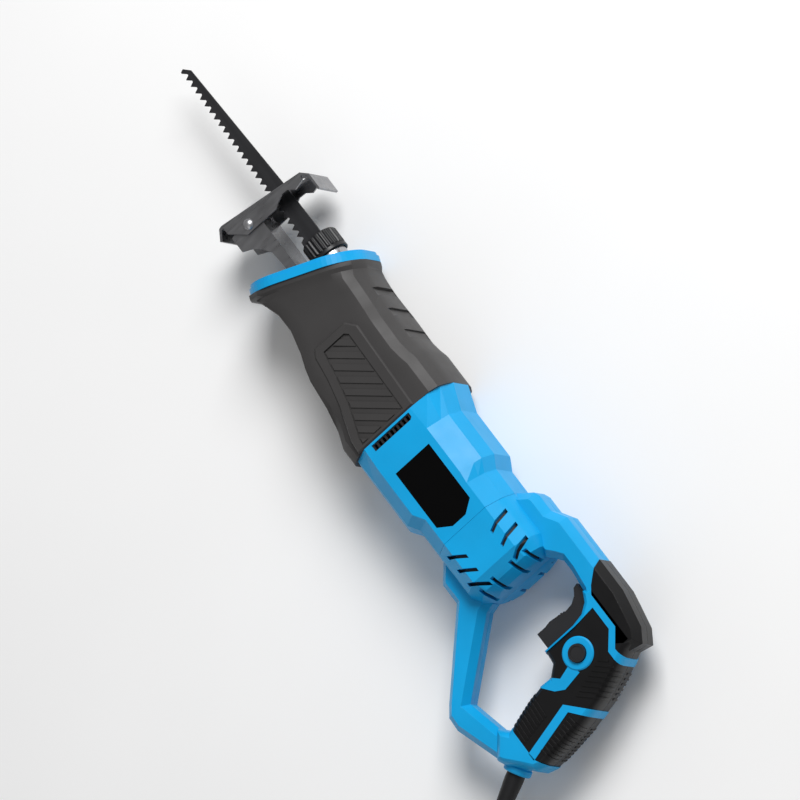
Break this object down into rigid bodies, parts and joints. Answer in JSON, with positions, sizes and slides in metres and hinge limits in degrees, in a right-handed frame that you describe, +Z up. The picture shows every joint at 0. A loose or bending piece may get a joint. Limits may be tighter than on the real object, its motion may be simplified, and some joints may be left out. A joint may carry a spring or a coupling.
{
  "type": "reciprocating saw",
  "caption": "Corded reciprocating saw with D-handle, hinged shoe on a sliding arm, twist blade clamp, crank drive, motor, trigger with speed dial and lock button.",
  "frame": {"origin": "centre of the saw on the bench it lies on, cord and plug not counted", "axes": "+X from the blade to the grip, +Y towards the spine of the tool, +Z up, the side with the lock button"},
  "size_m": [0.7542, 0.2765, 0.077],
  "materials": {
    "blade_steel": "dark oxide, fine grain",
    "tool_steel": "ground",
    "sheet_steel": "pressed sheet, satin",
    "collar_black": "satin black",
    "blue_plastic": "semi-gloss moulded",
    "boot_rubber": "matte charcoal",
    "seal_rubber": "matte",
    "cast_aluminium": "as cast",
    "fastener_steel": "black oxide",
    "bronze": "sintered",
    "gear_steel": "hardened",
    "copper": "enamelled winding",
    "laminations": "laminated",
    "bearing_steel": "polished",
    "dark_plastic": "moulded black",
    "carbon": "graphite",
    "plate_black": "smooth black",
    "cover_rubber": "moulded black elastomer",
    "circuit_green": "lacquered board",
    "capacitor_yellow": "film",
    "cord_rubber": "rubber sheath",
    "pin_brass": "nickel plated"
  },
  "bodies": {
    "housing": {"arm_guide": "tool_steel", "arm_screws": "fastener_steel", "bumper_ring": "blue_plastic", "rubber_boot": "boot_rubber", "front_seal": "seal_rubber", "gear_case": "cast_aluminium", "gear_cover": "cast_aluminium", "case_screws": "fastener_steel", "bearing_plate": "cast_aluminium", "front_bush": "bronze", "rear_bush": "bronze", "gear_bearing": "bearing_steel", "front_bearing": "bearing_steel", "rear_bearing": "bearing_steel", "bearing_cup": "seal_rubber", "stator_core": "laminations", "field_coils": "copper", "fan_baffle": "dark_plastic", "brush_holders": "bronze", "carbon_brushes": "carbon", "brush_springs": "tool_steel", "motor_housing": "blue_plastic", "side_plates": "plate_black", "dust_screens": "dark_plastic", "handle_left": "blue_plastic", "handle_right": "blue_plastic", "grip_cover_left": "cover_rubber", "grip_cover_right": "cover_rubber", "handle_screws": "fastener_steel", "switch_body": "dark_plastic", "speed_module": "circuit_green", "capacitor": "capacitor_yellow", "cord_clamp": "dark_plastic", "cord_guard": "cord_rubber", "cord_lead": "cord_rubber", "cord_coil": "cord_rubber", "cord_tail": "cord_rubber", "plug_body": "cord_rubber", "plug_pins": "pin_brass"},
    "armature": {"armature_shaft": "tool_steel", "pinion": "gear_steel", "armature_core": "laminations", "armature_windings": "copper", "commutator": "copper", "fan": "dark_plastic"},
    "crank": {"crown_gear": "gear_steel"},
    "plunger": {"plunger": "tool_steel", "yoke_roller": "bearing_steel", "clamp_body": "tool_steel", "clamp_pin": "tool_steel", "clamp_spring": "tool_steel", "blade": "blade_steel"},
    "collar": {"clamp_collar": "collar_black"},
    "arm": {"shoe_arm": "sheet_steel", "shoe_rivet": "tool_steel"},
    "shoe": {"shoe": "sheet_steel"},
    "trigger": {"trigger": "dark_plastic"},
    "dial": {"speed_dial": "dark_plastic"},
    "lock": {"lock_button": "dark_plastic"}
  },
  "joints": [
    {"name": "armature_spin", "type": "hinge", "parent": "housing", "child": "armature", "pos_m": [0.09075, 0.025, 0.0385], "axis": [1, 0, 0], "continuous": true},
    {"name": "crank_spin", "type": "hinge", "parent": "housing", "child": "crank", "pos_m": [-0.01525, 0.025, 0.0385], "axis": [0, 1, 0], "continuous": true},
    {"name": "plunger_slide", "type": "slide", "parent": "housing", "child": "plunger", "axis": [1, 0, 0], "range_m": [-0.012, 0.012]},
    {"name": "collar_twist", "type": "hinge", "parent": "plunger", "child": "collar", "pos_m": [-0.12425, 0.057, 0.0385], "axis": [1, 0, 0], "range_deg": [0, 70], "stiffness_Nm_per_rad": 0.1},
    {"name": "arm_slide", "type": "slide", "parent": "housing", "child": "arm", "axis": [1, 0, 0], "range_m": [-0.016, 0.01]},
    {"name": "shoe_tilt", "type": "hinge", "parent": "arm", "child": "shoe", "pos_m": [-0.17125, 0.025, 0.0385], "axis": [0, 0, 1], "range_deg": [-15, 15]},
    {"name": "trigger_pull", "type": "slide", "parent": "housing", "child": "trigger", "axis": [1, 0, 0], "range_m": [0, 0.006], "stiffness_N_per_m": 600, "springref_m": -0.004},
    {"name": "dial_turn", "type": "hinge", "parent": "trigger", "child": "dial", "pos_m": [0.22925, 0.0305, 0.0385], "axis": [0, 0, 1], "range_deg": [-120, 120]},
    {"name": "lock_press", "type": "slide", "parent": "housing", "child": "lock", "axis": [0, 0, -1], "range_m": [0, 0.003], "stiffness_N_per_m": 500, "springref_m": -0.002}
  ],
  "couplings": [
    {"joint": "crank_spin", "follows": "armature_spin", "ratio": -0.2}
  ]
}
